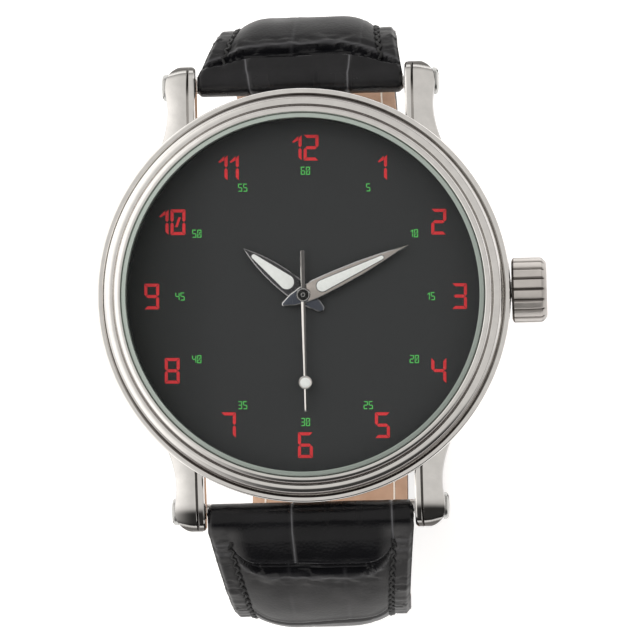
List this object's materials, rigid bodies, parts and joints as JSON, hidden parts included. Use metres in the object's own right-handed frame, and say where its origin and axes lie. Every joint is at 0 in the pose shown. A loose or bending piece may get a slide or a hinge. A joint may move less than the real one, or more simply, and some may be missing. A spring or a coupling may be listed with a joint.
{
  "type": "wristwatch",
  "caption": "Round three-hand wristwatch: stepped bezel, faceted lugs, fluted crown, charcoal dial with segment numerals, padded leather strap buckled in a loop.",
  "frame": {"origin": "centre of the case back's outer face", "axes": "+Z runs out through the dial, +Y points to 12 o'clock, +X points to the crown"},
  "size_m": [0.0476, 0.0661, 0.0622],
  "materials": {
    "polished_steel": "polished, warm light grey",
    "steel_inner": "plain turned steel",
    "crystal": "clear mineral glass",
    "dial_charcoal": "satin charcoal paint with red and green numerals",
    "hand_steel": "polished and bevelled",
    "lume": "white luminous compound",
    "wheel_brass": "stamped and cut brass",
    "plate_brass": "grained",
    "copper": "enamelled copper winding",
    "board": "green laminate",
    "holder_plastic": "moulded",
    "seal_rubber": "black rubber",
    "seal_nylon": "translucent nylon",
    "leather_black": "glossy black, scale embossed, black stitching",
    "leather_tan": "matt tan lining",
    "padding": "felt filling"
  },
  "bodies": {
    "case": {"case_middle": "polished_steel", "bezel": "polished_steel", "crystal": "crystal", "crystal_gasket": "seal_nylon", "dial": "dial_charcoal", "dial_ring": "steel_inner", "case_back": "polished_steel", "case_back_gasket": "seal_rubber", "crown_tube": "steel_inner", "movement_ring": "holder_plastic", "main_plate": "plate_brass", "train_bridge": "plate_brass", "stator": "steel_inner", "coil": "copper", "circuit_board": "board", "battery": "steel_inner", "battery_clip": "steel_inner", "strap_bars": "steel_inner", "lug_screws": "polished_steel", "strap_12_padding": "padding", "strap_12_lining": "leather_tan", "strap_12_upper": "leather_black", "strap_6_padding": "padding", "strap_6_lining": "leather_tan", "strap_6_upper": "leather_black", "buckle_frame": "polished_steel", "buckle_bar": "steel_inner", "keeper_fixed": "leather_black"},
    "second_hand_set": {"second_hand": "hand_steel", "second_hand_lume": "lume", "second_wheel": "wheel_brass"},
    "minute_hand_set": {"minute_hand": "hand_steel", "minute_hand_lume": "lume", "centre_wheel": "wheel_brass"},
    "hour_hand_set": {"hour_hand": "hand_steel", "hour_hand_lume": "lume", "hour_wheel": "wheel_brass"},
    "rotor_set": {"rotor": "steel_inner"},
    "fifth_wheel_set": {"fifth_wheel": "wheel_brass"},
    "third_wheel_set": {"third_wheel": "wheel_brass"},
    "minute_wheel_set": {"minute_wheel": "wheel_brass"},
    "crown_slider": {"crown_gasket": "seal_rubber"},
    "crown_set": {"crown": "polished_steel", "stem": "steel_inner"},
    "buckle_tongue_set": {"buckle_tongue": "polished_steel"},
    "free_keeper": {"keeper_free": "leather_black"}
  },
  "joints": [
    {"name": "second_hand_turn", "type": "hinge", "parent": "case", "child": "second_hand_set", "pos_m": [0, 0, 0.0074], "axis": [0, 0, -1], "continuous": true},
    {"name": "minute_hand_turn", "type": "hinge", "parent": "case", "child": "minute_hand_set", "pos_m": [0, 0, 0.007], "axis": [0, 0, -1], "continuous": true},
    {"name": "hour_hand_turn", "type": "hinge", "parent": "case", "child": "hour_hand_set", "pos_m": [0, 0, 0.0066], "axis": [0, 0, -1], "continuous": true},
    {"name": "rotor_turn", "type": "hinge", "parent": "case", "child": "rotor_set", "pos_m": [-0.0028, 0.00485, 0.003], "axis": [0, 0, -1], "continuous": true},
    {"name": "fifth_wheel_turn", "type": "hinge", "parent": "case", "child": "fifth_wheel_set", "pos_m": [-0.00155, 0.00268, 0.003], "axis": [0, 0, -1], "continuous": true},
    {"name": "third_wheel_turn", "type": "hinge", "parent": "case", "child": "third_wheel_set", "pos_m": [0.003, 0, 0.003], "axis": [0, 0, -1], "continuous": true},
    {"name": "minute_wheel_turn", "type": "hinge", "parent": "case", "child": "minute_wheel_set", "pos_m": [0.0012, 0.00208, 0.0051], "axis": [0, 0, -1], "continuous": true},
    {"name": "crown_pull", "type": "slide", "parent": "case", "child": "crown_slider", "axis": [1, 0, 0], "range_m": [0, 0.001]},
    {"name": "crown_turn", "type": "hinge", "parent": "crown_slider", "child": "crown_set", "pos_m": [0.024, 0, 0.00395], "axis": [1, 0, 0], "continuous": true},
    {"name": "tongue_lift", "type": "hinge", "parent": "case", "child": "buckle_tongue_set", "pos_m": [0, -0.003, -0.04725], "axis": [1, 0, 0], "range_deg": [0, 8]},
    {"name": "free_keeper_slide", "type": "slide", "parent": "case", "child": "free_keeper", "axis": [0, 1, 0], "range_m": [-0.002, 0.003]}
  ],
  "couplings": [
    {"joint": "minute_hand_turn", "follows": "second_hand_turn", "ratio": 0.016667},
    {"joint": "hour_hand_turn", "follows": "second_hand_turn", "ratio": 0.0013889},
    {"joint": "rotor_turn", "follows": "second_hand_turn", "ratio": 30},
    {"joint": "fifth_wheel_turn", "follows": "second_hand_turn", "ratio": -5},
    {"joint": "third_wheel_turn", "follows": "second_hand_turn", "ratio": -0.13333},
    {"joint": "minute_wheel_turn", "follows": "second_hand_turn", "ratio": -0.0055556}
  ]
}
